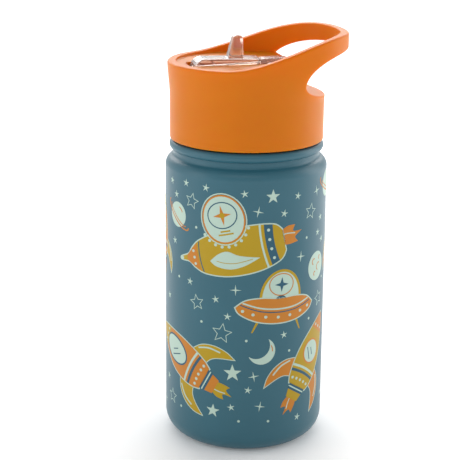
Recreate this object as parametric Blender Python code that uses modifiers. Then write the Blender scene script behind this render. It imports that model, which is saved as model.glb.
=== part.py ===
"""Kids' vacuum bottle with a screw-on straw lid: carry loop, flip-up spout and straw.

Frame: origin on the bottle's axis, in the plane it stands on; +Z up; +X towards the carry loop.
Driving dimensions are in millimetres and are scaled by MM where geometry is made.
"""

import math

import bmesh
import bpy
from mathutils import Vector

MM = 0.001
GAP = 0.3                    # clearance between neighbouring pieces
ROUND = 48                   # sides of the large turned pieces
SMALL_ROUND = 20             # sides of the small turned pieces

# Steel body: outer vessel
BODY_R = 36.5
STEEL = 0.7                  # wall thickness of both vessels
BASE_CORNER_R = 10.0
BASE_FLANGE_R = 24.5         # inner edge of the turned-in foot flange
SHOULDER_Z = 127.6           # where the straight wall ends
SHOULDER_R = 5.0
SHOULDER_TURN = 55           # degrees that the shoulder turns inwards
NECK_BAND_R = 32.9
NECK_BAND_Z = 133.5
NECK_BAND_FILLET = 1.6
BEAD_R = 2.2
BEAD_CENTRE = (32.5, 137.2)
NECK_R = 28.6
NECK_FILLET = 1.5
NECK_TOP_Z = 152.0

# Steel body: inner vessel
INNER_R = 32.8
INNER_BOTTOM_Z = 6.0
INNER_CORNER_R = 8.0
INNER_SHOULDER_Z = 124.5
INNER_NECK_R = 26.2
RIM_TOP_Z = 153.2

# Base pieces
PAD_R = 21.5
PAD_H = 1.9
PLATE_RECESS_Z = 2.2
SEAL_HOLE_R = 1.6

# Screw thread between neck and lid, right-handed
PITCH = 4.0
THREAD_START_Z = 142.8       # centre of the neck's thread at its lower end
NECK_THREAD_TURNS = 1.5
LID_THREAD_LEAD_IN = 0.25    # turns by which the lid's thread starts later
LID_THREAD_TURNS = 1.25
THREAD_CREST_R = 29.9
THREAD_ROOT_HALF = 1.1
THREAD_CREST_HALF = 0.45
THREAD_EMBED = 0.35
THREAD_STEPS_PER_TURN = 48

# Lid: skirt, rim, carry loop
SKIRT_R = 34.5
SKIRT_BOTTOM_Z = 140.0
SKIRT_BORE_R = 31.9
SKIRT_BORE_TOP_Z = 156.8
FLARE_START_Z = 158.0
FLARE_END_Z = 176.0
LOOP_FRONT_R = 35.6          # rim radius at the drinking side
LOOP_TIP_X = 44.3
LOOP_POWER = 2.4             # squareness of the loop's plan outline
RIM_LOW_Z = 174.6
RIM_RISE = 13.3
RIM_RISE_START_X = -19.0
RIM_RISE_LENGTH = 60.0
RIM_WALL = 3.8
DECK_Z = 173.4
DECK_UNDERSIDE_Z = 170.9
LID_CAVITY_R = 31.5
LID_CAVITY_BACK_X = 14.7

# Finger gap under the loop, in side view: two quarter ellipses from one nose point
FINGER_NOSE = (18.3, 167.4)
FINGER_UPPER = (30.0, 13.6)
FINGER_LOWER = (26.0, 8.1)
FINGER_END_X = 52.0

# Spout and its pivot
PIVOT_X = -20.2
PIVOT_Z = 171.4
BARREL_R = 4.8
BARREL_HALF = 5.7
TRUNNION_R = 1.3
TRUNNION_HALF = 7.6
ARM_END_X = 5.0
BORE_R = 1.6
MOUTH_TIP_X = 19.0
MOUTH_AXIS_Z = 173.2
SPIGOT_R = 2.2
SPIGOT_LENGTH = 4.0
POCKET_FRONT_X = -27.0
POCKET_HALF = 6.2
POCKET_FLOOR_Z = PIVOT_Z - BARREL_R - GAP
CHANNEL_FLOOR_Z = 168.9
TAB_TOP_Z = 185.7

# Straw and its socket
SOCKET_R = 4.2
SOCKET_BOTTOM_Z = 154.4
SOCKET_TOP_Z = 163.1
STRAW_R = 3.2
STRAW_BORE_R = 2.4
STRAW_BOTTOM_Z = 10.0
STRAW_TOP_Z = 161.5
BOSS_R = 6.3

# Air vent in the deck
VENT_X, VENT_Y = 8.6, -8.6
VENT_STEM_R = 0.7
VENT_HEAD_R = 1.6

COLOURS = {
    "teal_paint": ((0.05, 0.135, 0.17), 0.35, 0.2),
    "steel": ((0.62, 0.61, 0.59), 0.28, 1.0),
    "orange_plastic": ((0.62, 0.17, 0.02), 0.42, 0.0),
    "clear_plastic": ((0.86, 0.84, 0.83), 0.08, 0.0),
    "white_silicone": ((0.78, 0.77, 0.74), 0.55, 0.0),
    "grey_silicone": ((0.32, 0.33, 0.34), 0.6, 0.0),
    "copper_foil": ((0.60, 0.28, 0.17), 0.3, 1.0),
    "getter_metal": ((0.30, 0.29, 0.28), 0.6, 1.0),
}


def clear_scene():
    for old in list(bpy.data.objects):
        bpy.data.objects.remove(old, do_unlink=True)


def new_collection(name):
    collection = bpy.data.collections.new(name)
    bpy.context.scene.collection.children.link(collection)
    return collection


def material(name):
    found = bpy.data.materials.get(name)
    if found:
        return found
    colour, roughness, metallic = COLOURS[name]
    made = bpy.data.materials.new(name)
    made.use_nodes = True
    shader = made.node_tree.nodes["Principled BSDF"]
    shader.inputs["Base Color"].default_value = (*colour, 1.0)
    shader.inputs["Roughness"].default_value = roughness
    shader.inputs["Metallic"].default_value = metallic
    return made


def place(obj, collection, material_name=None):
    """Put an object in one collection only, and give it its material."""
    for other in list(obj.users_collection):
        other.objects.unlink(obj)
    collection.objects.link(obj)
    if material_name:
        obj.data.materials.append(material(material_name))
    else:
        obj.hide_render = True
        obj.display_type = "WIRE"
    return obj


def object_from_bmesh(name, bm):
    bmesh.ops.recalc_face_normals(bm, faces=bm.faces)
    mesh = bpy.data.meshes.new(name)
    bm.to_mesh(mesh)
    bm.free()
    return bpy.data.objects.new(name, mesh)


def arc(centre, radius, start, end, steps):
    """Points (r, z) on an arc, angles in degrees."""
    angles = [math.radians(start + (end - start) * i / steps) for i in range(steps + 1)]
    return [(centre[0] + radius * math.cos(a), centre[1] + radius * math.sin(a)) for a in angles]


def inset(points, distance):
    """The same open line moved to its left by a distance, with mitred corners."""
    line = [Vector(p) for p in points]
    moved = []
    for i, point in enumerate(line):
        before = (point - line[i - 1]).normalized() if i else None
        after = (line[i + 1] - point).normalized() if i + 1 < len(line) else None
        normals = [Vector((-d.y, d.x)) for d in (before, after) if d is not None]
        normal = sum(normals, Vector((0.0, 0.0))).normalized()
        moved.append(tuple(point + normal * distance / normal.dot(normals[0])))
    return moved


def turned(name, outline, segments, closed=True):
    """Turn an outline of (r, z) points about Z; it runs down its outer side."""
    points = [(r * MM, 0.0, z * MM) for r, z in outline]
    count = len(points)
    edges = [(i, i + 1) for i in range(count - 1)]
    if closed:
        edges.append((count - 1, 0))
    mesh = bpy.data.meshes.new(name)
    mesh.from_pydata(points, edges, [])
    obj = bpy.data.objects.new(name, mesh)
    screw = obj.modifiers.new("turn", "SCREW")
    screw.axis = "Z"
    screw.angle = 2 * math.pi
    screw.steps = segments
    screw.render_steps = segments
    screw.use_merge_vertices = True
    screw.merge_threshold = 0.00001
    return obj


def turned_wall(name, outside, thickness, segments):
    """A turned sheet: its outside runs up the outer side, the thickness goes inwards."""
    return turned(name, outside[::-1] + inset(outside, thickness), segments)


def ring(name, inner_r, outer_r, bottom_z, top_z, segments, centre=(0.0, 0.0)):
    """A plain ring or tube about a vertical axis."""
    outline = [(inner_r, top_z), (outer_r, top_z), (outer_r, bottom_z), (inner_r, bottom_z)]
    obj = turned(name, outline, segments)
    obj.location = (centre[0] * MM, centre[1] * MM, 0.0)
    return obj


def disc(name, radius, bottom_z, top_z, segments, centre=(0.0, 0.0)):
    """A plain solid disc or rod about a vertical axis."""
    outline = [(0.0, top_z), (radius, top_z), (radius, bottom_z), (0.0, bottom_z)]
    obj = turned(name, outline, segments, closed=False)
    obj.location = (centre[0] * MM, centre[1] * MM, 0.0)
    return obj


def rod_y(name, radius, half_length, x, z, segments):
    """A rod along Y, centred on the mirror plane."""
    bpy.ops.mesh.primitive_cylinder_add(
        vertices=segments, radius=radius * MM, depth=2 * half_length * MM,
        location=(x * MM, 0.0, z * MM), rotation=(math.pi / 2, 0.0, 0.0))
    obj = bpy.context.object
    obj.name = name
    return obj


def rod_between(name, radius, start, end, segments):
    """A rod between two points (x, z) on the mirror plane."""
    run = Vector((end[0] - start[0], 0.0, end[1] - start[1])) * MM
    middle = Vector((start[0] + end[0], 0.0, start[1] + end[1])) * MM / 2
    bpy.ops.mesh.primitive_cylinder_add(
        vertices=segments, radius=radius * MM, depth=run.length, location=middle,
        rotation=run.to_track_quat("Z", "Y").to_euler())
    obj = bpy.context.object
    obj.name = name
    return obj


def block(name, low, high):
    """A box between two corners."""
    centre = [(a + b) / 2 * MM for a, b in zip(low, high)]
    bpy.ops.mesh.primitive_cube_add(size=1.0, location=centre)
    obj = bpy.context.object
    obj.name = name
    obj.scale = [(b - a) * MM for a, b in zip(low, high)]
    return obj


def loft(name, rings):
    """A solid through closed rings of equal point counts, in order, capped at both ends."""
    bm = bmesh.new()
    rows = [[bm.verts.new(Vector(p) * MM) for p in points] for points in rings]
    count = len(rows[0])
    for lower, upper in zip(rows, rows[1:]):
        for i in range(count):
            j = (i + 1) % count
            bm.faces.new((lower[i], lower[j], upper[j], upper[i]))
    bm.faces.new(rows[0])
    bm.faces.new(rows[-1])
    return object_from_bmesh(name, bm)


def boolean(obj, cutter, operation):
    step = obj.modifiers.new(cutter.name, "BOOLEAN")
    step.operation = operation
    step.solver = "EXACT"
    step.object = cutter


def cut(obj, cutter):
    boolean(obj, cutter, "DIFFERENCE")


def join(obj, cutter):
    boolean(obj, cutter, "UNION")


def smooth_step(value):
    t = min(max(value, 0.0), 1.0)
    return t * t * (3 - 2 * t)


def thread_ridge(name, root_r, crest_r, start_z, start_turn, turns):
    """A helical ridge of trapezoid section that fades out at both ends."""
    steps = round(turns * THREAD_STEPS_PER_TURN)
    embed = math.copysign(THREAD_EMBED, root_r - crest_r)
    rings = []
    for i in range(steps + 1):
        turn = start_turn + turns * i / steps
        angle = 2 * math.pi * turn
        z = start_z + PITCH * (turn - start_turn)
        fade = smooth_step(min(i, steps - i) * 8 / THREAD_STEPS_PER_TURN)
        buried = root_r + embed / 2
        reach = buried + (crest_r - buried) * fade
        section = [
            (root_r + embed, -THREAD_ROOT_HALF), (reach, -THREAD_CREST_HALF),
            (reach, THREAD_CREST_HALF), (root_r + embed, THREAD_ROOT_HALF)]
        rings.append([(r * math.cos(angle), r * math.sin(angle), z + dz) for r, dz in section])
    return loft(name, rings)


# ---------------------------------------------------------------- steel body

def make_outer_shell(parts, cutters):
    fillet = NECK_BAND_FILLET
    bead_start = -math.degrees(math.acos((NECK_BAND_R - BEAD_CENTRE[0]) / BEAD_R))
    ledge_z = BEAD_CENTRE[1] + BEAD_R
    outside = [(BASE_FLANGE_R, 0.0)]
    outside += arc((BODY_R - BASE_CORNER_R, BASE_CORNER_R), BASE_CORNER_R, -90, 0, 5)
    outside += arc((BODY_R - SHOULDER_R, SHOULDER_Z), SHOULDER_R, 0, SHOULDER_TURN, 3)
    outside += arc((NECK_BAND_R + fillet, NECK_BAND_Z), fillet, 180 + SHOULDER_TURN, 180, 2)
    outside += arc(BEAD_CENTRE, BEAD_R, bead_start, 90, 7)
    outside += arc((NECK_R + NECK_FILLET, ledge_z + NECK_FILLET), NECK_FILLET, -90, -180, 2)
    outside.append((NECK_R, NECK_TOP_Z))
    shell = turned_wall("outer_shell", outside, STEEL, ROUND)
    place(shell, parts, "teal_paint")
    ridge = thread_ridge("neck_thread", NECK_R, THREAD_CREST_R, THREAD_START_Z, 0.0,
                         NECK_THREAD_TURNS)
    join(shell, place(ridge, cutters))


def make_inner_flask(parts):
    turn = INNER_R - INNER_NECK_R
    outside = [(0.0, INNER_BOTTOM_Z)]
    outside += arc((INNER_R - INNER_CORNER_R, INNER_BOTTOM_Z + INNER_CORNER_R),
                   INNER_CORNER_R, -90, 0, 4)
    outside += arc((INNER_NECK_R, INNER_SHOULDER_Z), turn, 0, 65, 3)
    outside.append((INNER_NECK_R, INNER_SHOULDER_Z + turn + 1.5))
    outside.append((INNER_NECK_R, RIM_TOP_Z - STEEL))
    inside = inset(outside, STEEL)
    inside[0] = (0.0, INNER_BOTTOM_Z + STEEL)
    rim = [(INNER_NECK_R - STEEL, RIM_TOP_Z), (NECK_R - 0.2, RIM_TOP_Z),
           (NECK_R - 0.2, NECK_TOP_Z + GAP), (INNER_NECK_R, NECK_TOP_Z + GAP)]
    outline = inside[:-1] + rim + outside[:-1][::-1]
    place(turned("inner_flask", outline, ROUND, closed=False), parts, "steel")


def make_base_pieces(parts):
    edge_r = BASE_FLANGE_R - GAP
    top = PLATE_RECESS_Z + STEEL
    plate = [(SEAL_HOLE_R, top), (PAD_R + 0.6, top), (edge_r, 1.6), (edge_r, 0.9),
             (PAD_R + 1.2, 0.9), (PAD_R + 0.3, PLATE_RECESS_Z), (SEAL_HOLE_R, PLATE_RECESS_Z)]
    place(turned("base_plate", plate, ROUND), parts, "steel")
    pad = [(0.0, PAD_H), (PAD_R, PAD_H), (PAD_R, 0.4), (PAD_R - 0.4, 0.0), (0.0, 0.0)]
    place(turned("foot_pad", pad, ROUND, closed=False), parts, "grey_silicone")
    plug_r = SEAL_HOLE_R - GAP
    place(disc("vacuum_plug", plug_r, PLATE_RECESS_Z + 0.1, top + 0.3, SMALL_ROUND),
          parts, "getter_metal")
    place(disc("getter", 3.0, top + GAP, top + 1.6, SMALL_ROUND, (12.0, 0.0)),
          parts, "getter_metal")
    place(ring("foil_wrap", INNER_R + 0.4, INNER_R + 0.7, 16.0, 122.0, ROUND),
          parts, "copper_foil")


# ---------------------------------------------------------------------- lid

def lid_outline(z, thickness=0.0):
    """Plan outline of the lid at a height: round at the skirt, drawn out into the loop above."""
    grown = smooth_step((z - FLARE_START_Z) / (FLARE_END_Z - FLARE_START_Z))
    front = SKIRT_R + (LOOP_FRONT_R - SKIRT_R) * grown - thickness
    tip = SKIRT_R + (LOOP_TIP_X - SKIRT_R) * grown - thickness
    power = 2.0 + (LOOP_POWER - 2.0) * grown
    points = []
    for i in range(ROUND):
        angle = 2 * math.pi * i / ROUND
        cosine, sine = math.cos(angle), math.sin(angle)
        if cosine > 0:
            x = tip * cosine ** (2 / power)
            y = math.copysign(front * abs(sine) ** (2 / power), sine)
        else:
            x, y = front * cosine, front * sine
        points.append((x, y, z))
    return points


def rim_top(x):
    return RIM_LOW_Z + RIM_RISE * smooth_step((x - RIM_RISE_START_X) / RIM_RISE_LENGTH)


def side_prism(name, outline, half_width):
    """A side outline of (x, z) points carried across the whole width."""
    near = [(x, -half_width, z) for x, z in outline]
    far = [(x, half_width, z) for x, z in outline]
    return loft(name, [near, far])


def above_rim():
    """Everything above the swooping top edge."""
    xs = [-40 + 5 * i for i in range(19)]
    outline = [(x, rim_top(x)) for x in xs] + [(xs[-1], 200.0), (xs[0], 200.0)]
    return side_prism("above_rim", outline, 45.0)


def finger_gap():
    """The gap between the loop and the ledge below it."""
    def quarter(radii, sign):
        end = math.acos(1 - (FINGER_END_X - FINGER_NOSE[0]) / radii[0]) \
            if FINGER_END_X - FINGER_NOSE[0] < radii[0] else math.pi / 2
        angles = [end * i / 9 for i in range(10)]
        return [(FINGER_NOSE[0] + radii[0] * (1 - math.cos(a)),
                 FINGER_NOSE[1] + sign * radii[1] * math.sin(a)) for a in angles]
    upper = quarter(FINGER_UPPER, 1)
    lower = quarter(FINGER_LOWER, -1)
    upper.append((FINGER_END_X, upper[-1][1]))
    lower.append((FINGER_END_X, lower[-1][1]))
    return side_prism("finger_gap", upper + lower[:0:-1], 45.0)


def spout_channel():
    """Plan outline of the open channel that the folded spout lies in."""
    corner = 2.0
    front = arc((POCKET_FRONT_X + corner, POCKET_HALF - corner), corner, 180, 90, 3)
    side = front + [(-14.6, POCKET_HALF), (-13.8, 6.0), (ARM_END_X + 1, 5.5), (22.0, 5.2)]
    outline = side + [(x, -y) for x, y in side[::-1]]
    return loft("spout_channel", [[(x, y, z) for x, y in outline] for z in (CHANNEL_FLOOR_Z, 190.0)])


def lid_cavity(cutters):
    """The hollow under the deck, with ribs left standing under the channel and round the socket."""
    cavity = disc("lid_cavity", LID_CAVITY_R, SKIRT_BORE_TOP_Z - 0.5, DECK_UNDERSIDE_Z, ROUND)
    ribs = [
        block("behind_cavity", (LID_CAVITY_BACK_X, -40, 150), (60, 40, 180)),
        block("channel_rib", (-40, -7.8, CHANNEL_FLOOR_Z - 2.0), (40, 7.8, 180)),
        block("pocket_rib", (POCKET_FRONT_X - 2, -8.8, POCKET_FLOOR_Z - 2.0), (-13, 8.8, 180)),
        disc("socket_boss", BOSS_R, SKIRT_BORE_TOP_Z - 0.2, 180, SMALL_ROUND, (PIVOT_X, 0.0)),
    ]
    for rib in ribs:
        cut(cavity, place(rib, cutters))
    return place(cavity, cutters)


def make_lid_shell(parts, cutters):
    heights = (SKIRT_BOTTOM_Z, FLARE_START_Z, 162.0, 165.0, 168.0, 171.0, 174.0, FLARE_END_Z, 192.0)
    shell = loft("lid_shell", [lid_outline(z) for z in heights])
    place(shell, parts, "orange_plastic")
    bowl = loft("bowl", [lid_outline(FLARE_END_Z, RIM_WALL)[:] for _ in range(2)])
    for vertex in bowl.data.vertices:
        vertex.co.z = (DECK_Z if vertex.index < ROUND else 200.0) * MM
    pocket = block("pivot_pocket", (POCKET_FRONT_X + 1.2, -POCKET_HALF, POCKET_FLOOR_Z),
                   (PIVOT_X + BARREL_R + 0.6, POCKET_HALF, 190.0))
    tools = [
        above_rim(), finger_gap(), bowl, spout_channel(), pocket,
        rod_y("trunnion_holes", TRUNNION_R + GAP, TRUNNION_HALF + GAP, PIVOT_X, PIVOT_Z, SMALL_ROUND),
        disc("skirt_bore", SKIRT_BORE_R, SKIRT_BOTTOM_Z - 1, SKIRT_BORE_TOP_Z, ROUND),
        disc("socket_bore", SOCKET_R + GAP, 150.0, POCKET_FLOOR_Z + 0.5, SMALL_ROUND, (PIVOT_X, 0.0)),
        disc("vent_hole", VENT_STEM_R + GAP, 150.0, 180.0, SMALL_ROUND, (VENT_X, VENT_Y)),
    ]
    for tool in tools:
        cut(shell, place(tool, cutters))
    cut(shell, lid_cavity(cutters))


def make_lid_liner(parts, cutters):
    top = SKIRT_BORE_TOP_Z - GAP
    root_r = THREAD_CREST_R + 0.4
    outer_r = SKIRT_BORE_R - GAP
    plate_z = top - 1.6
    outline = [(0.0, top), (outer_r, top), (outer_r, SKIRT_BOTTOM_Z + 0.6),
               (root_r, SKIRT_BOTTOM_Z + 0.6), (root_r, plate_z), (0.0, plate_z)]
    liner = turned("lid_liner", outline, ROUND, closed=False)
    place(liner, parts, "orange_plastic")
    start_z = THREAD_START_Z + PITCH * (LID_THREAD_LEAD_IN - 0.5)
    ridge = thread_ridge("lid_thread", root_r, NECK_R + 0.4, start_z, LID_THREAD_LEAD_IN,
                         LID_THREAD_TURNS)
    join(liner, place(ridge, cutters))
    holes = [
        disc("liner_socket_hole", SOCKET_R + GAP, 150.0, 160.0, SMALL_ROUND, (PIVOT_X, 0.0)),
        disc("liner_vent_hole", VENT_STEM_R + GAP, 150.0, 160.0, SMALL_ROUND, (VENT_X, VENT_Y)),
    ]
    for hole in holes:
        cut(liner, place(hole, cutters))
    gasket = [(25.8, plate_z - GAP), (29.9, plate_z - GAP), (29.9, RIM_TOP_Z + GAP + 0.4),
              (29.5, RIM_TOP_Z + GAP), (26.2, RIM_TOP_Z + GAP), (25.8, RIM_TOP_Z + GAP + 0.4)]
    place(turned("lid_gasket", gasket, ROUND), parts, "white_silicone")


# -------------------------------------------------------------------- spout

def bore_z(x):
    """Height of the drinking bore's axis: it rises from the pivot to the mouthpiece."""
    return PIVOT_Z + (MOUTH_AXIS_Z - PIVOT_Z) * (x - PIVOT_X) / (MOUTH_TIP_X - PIVOT_X)


def rounded_section(x, half_width, bottom, top, corner, steps=3):
    """A rounded rectangle across the spout at a place along it, as (x, y, z) points."""
    centres = [(half_width - corner, top - corner, 0), (-half_width + corner, top - corner, 90),
               (-half_width + corner, bottom + corner, 180), (half_width - corner, bottom + corner, 270)]
    points = []
    for y, z, start in centres:
        points += [(x, *p) for p in arc((y, z), corner, start, start + 90, steps)]
    return points


def make_spout(parts, cutters):
    barrel = rod_y("spout", BARREL_R, BARREL_HALF, PIVOT_X, PIVOT_Z, 28)
    place(barrel, parts, "clear_plastic")
    arm = loft("arm", [
        rounded_section(PIVOT_X + 0.5, 5.6, 168.6, 176.15, 0.9),
        rounded_section(-12.0, 5.5, 169.6, 176.1, 0.9),
        rounded_section(ARM_END_X, 5.0, 170.5, 175.8, 0.9)])
    tab = loft("thumb_tab", [
        [(x, y, 175.0) for x, y in ((-9.6, -3.3), (-2.3, -3.3), (-2.3, 3.3), (-9.6, 3.3))],
        [(x, y, TAB_TOP_Z) for x, y in ((-6.7, -2.7), (-2.7, -2.7), (-2.7, 2.7), (-6.7, 2.7))]])
    round_off = tab.modifiers.new("round_edges", "BEVEL")
    round_off.width = 0.9 * MM
    round_off.segments = 2
    trunnions = rod_y("trunnions", TRUNNION_R, TRUNNION_HALF, PIVOT_X, PIVOT_Z, 12)
    spigot_end = ARM_END_X + SPIGOT_LENGTH
    spigot = rod_between("spigot", SPIGOT_R, (0.0, bore_z(0.0)), (spigot_end, bore_z(spigot_end)),
                         SMALL_ROUND)
    for piece in (arm, tab, trunnions, spigot):
        join(barrel, place(piece, cutters))
    bore_start = PIVOT_X - 2 * BARREL_R
    bore = rod_between("spout_bore", BORE_R, (bore_start, bore_z(bore_start)), (20.0, bore_z(20.0)), 12)
    cut(barrel, place(bore, cutters))


def make_mouthpiece(parts, cutters):
    start = ARM_END_X + GAP
    stations = ((start, 4.3, 2.55), (7.5, 4.5, 2.8), (13.0, 4.3, 2.75), (17.4, 3.9, 2.45),
                (MOUTH_TIP_X, 3.1, 1.95))
    rings = []
    for x, half_width, half_height in stations:
        middle = bore_z(x)
        corner = half_height * 0.9
        rings.append(rounded_section(x, half_width, middle - half_height, middle + half_height, corner))
    mouthpiece = loft("mouthpiece", rings)
    place(mouthpiece, parts, "white_silicone")
    socket_end = ARM_END_X + SPIGOT_LENGTH + GAP
    socket = rod_between("spigot_socket", SPIGOT_R + 0.25, (0.0, bore_z(0.0)),
                         (socket_end, bore_z(socket_end)), SMALL_ROUND)
    bore = rod_between("mouth_bore", BORE_R, (0.0, bore_z(0.0)), (22.0, bore_z(22.0)), 12)
    for tool in (socket, bore):
        cut(mouthpiece, place(tool, cutters))


# -------------------------------------------------------------- water path

def make_water_path(parts):
    centre = (PIVOT_X, 0.0)
    seal_low = SOCKET_TOP_Z + GAP
    seal = [(BORE_R, POCKET_FLOOR_Z), (SOCKET_R, POCKET_FLOOR_Z), (SOCKET_R, seal_low),
            (BORE_R, seal_low)]
    spout_seal = turned("spout_seal", seal, SMALL_ROUND)
    socket_outline = [
        (BORE_R, SOCKET_TOP_Z), (SOCKET_R, SOCKET_TOP_Z), (SOCKET_R, SOCKET_BOTTOM_Z),
        (STRAW_R + GAP, SOCKET_BOTTOM_Z), (STRAW_R + GAP, STRAW_TOP_Z + GAP),
        (BORE_R, STRAW_TOP_Z + GAP)]
    socket = turned("straw_socket", socket_outline, SMALL_ROUND)
    for piece, colour in ((spout_seal, "white_silicone"), (socket, "white_silicone")):
        piece.location = (PIVOT_X * MM, 0.0, 0.0)
        place(piece, parts, colour)
    straw = ring("straw", STRAW_BORE_R, STRAW_R, STRAW_BOTTOM_Z, STRAW_TOP_Z, SMALL_ROUND, centre)
    place(straw, parts, "clear_plastic")


def make_vent_valve(parts):
    head_z = DECK_Z + GAP
    foot_z = CHANNEL_FLOOR_Z - 2.0 - GAP
    outline = [
        (0.0, head_z + 0.7), (VENT_HEAD_R - 0.4, head_z + 0.6), (VENT_HEAD_R, head_z + 0.2),
        (VENT_HEAD_R, head_z), (VENT_STEM_R, head_z), (VENT_STEM_R, foot_z),
        (VENT_STEM_R + 0.6, foot_z - 0.3), (VENT_STEM_R, foot_z - 1.6), (0.0, foot_z - 1.6)]
    valve = turned("vent_valve", outline, SMALL_ROUND, closed=False)
    valve.location = (VENT_X * MM, VENT_Y * MM, 0.0)
    place(valve, parts, "white_silicone")


def main():
    clear_scene()
    parts = new_collection("kids_water_bottle")
    cutters = new_collection("cutters")
    make_outer_shell(parts, cutters)
    make_inner_flask(parts)
    make_base_pieces(parts)
    make_lid_shell(parts, cutters)
    make_lid_liner(parts, cutters)
    make_spout(parts, cutters)
    make_mouthpiece(parts, cutters)
    make_water_path(parts)
    make_vent_valve(parts)


main()
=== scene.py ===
"""Looks of the kids' vacuum bottle: printed steel body, moulded lid with its carry loop, clear spout.

Sizes are in millimetres in the part's own frame (origin on the axis in the base plane, +Z up,
+X towards the carry loop) and are scaled by MM where geometry is made. Lamps and the floor are
placed in metres.
"""
import math

import bmesh
import bpy
import numpy as np
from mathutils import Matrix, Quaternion, Vector


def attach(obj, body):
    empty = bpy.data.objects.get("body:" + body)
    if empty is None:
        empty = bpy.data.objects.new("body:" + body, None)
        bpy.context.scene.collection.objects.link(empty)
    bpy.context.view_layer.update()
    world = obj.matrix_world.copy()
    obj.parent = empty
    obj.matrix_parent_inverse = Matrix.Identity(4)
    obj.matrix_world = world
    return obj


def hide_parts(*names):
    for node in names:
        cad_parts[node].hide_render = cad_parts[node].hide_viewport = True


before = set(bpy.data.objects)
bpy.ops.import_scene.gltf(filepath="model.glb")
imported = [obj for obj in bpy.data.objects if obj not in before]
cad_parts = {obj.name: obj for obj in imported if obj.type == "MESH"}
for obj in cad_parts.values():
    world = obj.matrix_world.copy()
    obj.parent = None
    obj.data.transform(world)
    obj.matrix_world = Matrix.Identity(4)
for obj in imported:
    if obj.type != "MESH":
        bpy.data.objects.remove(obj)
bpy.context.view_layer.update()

MM = 0.001

# View: azimuth 0 looks along +Y
VIEW_AZIMUTH = -13.5
VIEW_ELEVATION = 16.03
VIEW_ROLL = 0.57
VIEW_AIM = (-6.8, 1.6, 96.0)
VIEW_DISTANCE = 637.3
LENS_MM = 108.65

# Steel body, outer vessel
BODY_R = 36.5
STEEL = 0.7
BASE_CORNER_R = 10.0
BASE_FLANGE_R = 24.5
SHOULDER_Z = 127.6
SHOULDER_R = 5.0
SHOULDER_TURN = 55
NECK_BAND_R = 32.9
NECK_BAND_Z = 133.5
NECK_BAND_FILLET = 1.6
BEAD_R = 2.2
BEAD_CENTRE = (32.5, 137.2)
NECK_R = 28.6
NECK_FILLET = 1.5
NECK_TOP_Z = 152.0

# Steel body, inner vessel and base
INNER_R = 32.8
INNER_BOTTOM_Z = 6.0
INNER_CORNER_R = 8.0
INNER_SHOULDER_Z = 124.5
INNER_NECK_R = 26.2
RIM_TOP_Z = 153.2
PAD_R = 21.5
PAD_H = 1.9
PAD_RING_PITCH = 3.0

# Screw thread
PITCH = 4.0
THREAD_START_Z = 142.8
NECK_THREAD_TURNS = 1.5
LID_THREAD_TURNS = 1.25
LID_THREAD_LEAD_IN = 0.25
THREAD_CREST_R = 29.9
LID_THREAD_ROOT_R = 30.3
LID_THREAD_CREST_R = 29.0

# Lid
SKIRT_R = 34.5
SKIRT_BOTTOM_Z = 140.0
SKIRT_BORE_R = 31.9
SKIRT_BORE_TOP_Z = 156.8
FLARE_START_Z = 158.0
FLARE_END_Z = 176.0
LOOP_FRONT_R = 35.6
LOOP_TIP_X = 44.3
LOOP_POWER = 2.4
RIM_LOW_Z = 174.6
RIM_RISE = 13.3
RIM_RISE_START_X = -19.0
RIM_RISE_LENGTH = 60.0
RIM_WALL = 3.8
RIM_ROLL_R = 1.2
LID_CELL = 0.5
DECK_Z = 173.4
DECK_UNDERSIDE_Z = 170.9
LID_CAVITY_R = 31.5
LID_CAVITY_BACK_X = 14.7
FINGER_NOSE = (18.3, 167.4)
FINGER_UPPER = (30.0, 13.6)
FINGER_LOWER = (26.0, 8.1)

# Spout, its pivot, and the water path under it
PIVOT_X = -20.2
PIVOT_Z = 171.4
BARREL_R = 4.8
BARREL_HALF = 5.7
TRUNNION_R = 1.3
TRUNNION_HALF = 7.6
ARM_END_X = 5.0
BORE_R = 1.6
MOUTH_TIP_X = 19.0
MOUTH_AXIS_Z = 173.2
SPIGOT_R = 2.2
SPIGOT_END_X = 9.0
POCKET_FRONT_X = -27.0
POCKET_HALF = 6.2
POCKET_FLOOR_Z = 166.3
CHANNEL_FLOOR_Z = 168.9
CHANNEL_END_X = 22.0
TAB_FOOT_Z = 175.0
TAB_TOP_Z = 185.7
SOCKET_R = 4.2
STRAW_R = 3.2
STRAW_BORE_R = 2.4
STRAW_BOTTOM_Z = 10.0
STRAW_TOP_Z = 161.5
BOSS_R = 6.3
VENT_X, VENT_Y = 8.6, -8.6

# Print
PRINT_FACETS = 256           # the painted wall has as many sides
PRINT_MIDDLE = -104.0        # direction of the panel's middle from the axis, in degrees
PRINT_LAYER = 0.025          # height of each layer of ink above the last
HALF_GIRTH = math.pi * BODY_R
INK_DEPTH = 0.05             # how far the ink's plates reach into the wall
INK_COLOURS = {"mint": (172, 195, 182), "mustard": (168, 138, 8), "orange": (184, 115, 30),
               "navy": (36, 82, 102)}

# Studio, in metres and watts: each lamp's place, aim, size and power
SOFT_LIGHTS = {
    "back_box": ((0.15, 0.7, 0.62), (0, 0, 0.17), (1.2, 0.6), 6.5),
    "left_box": ((-0.9, -0.05, 0.3), (0, 0, 0.1), (0.5, 0.9), 1.8),
    "right_box": ((0.9, 0.1, 0.3), (0, 0, 0.1), (0.5, 0.9), 3.0),
    "top_strip": ((-0.25, -0.7, 0.85), (0, 0, 0.17), (0.9, 0.1), 1.2),
}
FLOOR_REACH = 8.0
SHARP_ANGLE = 35             # degrees between faces above which an edge stays sharp


# ------------------------------------------------------------------ materials

def srgb(red, green, blue):
    """A linear colour from its usual 0 to 255 values."""
    values = [v / 255 for v in (red, green, blue)]
    return tuple(v / 12.92 if v < 0.04045 else ((v + 0.055) / 1.055) ** 2.4 for v in values)


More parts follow.
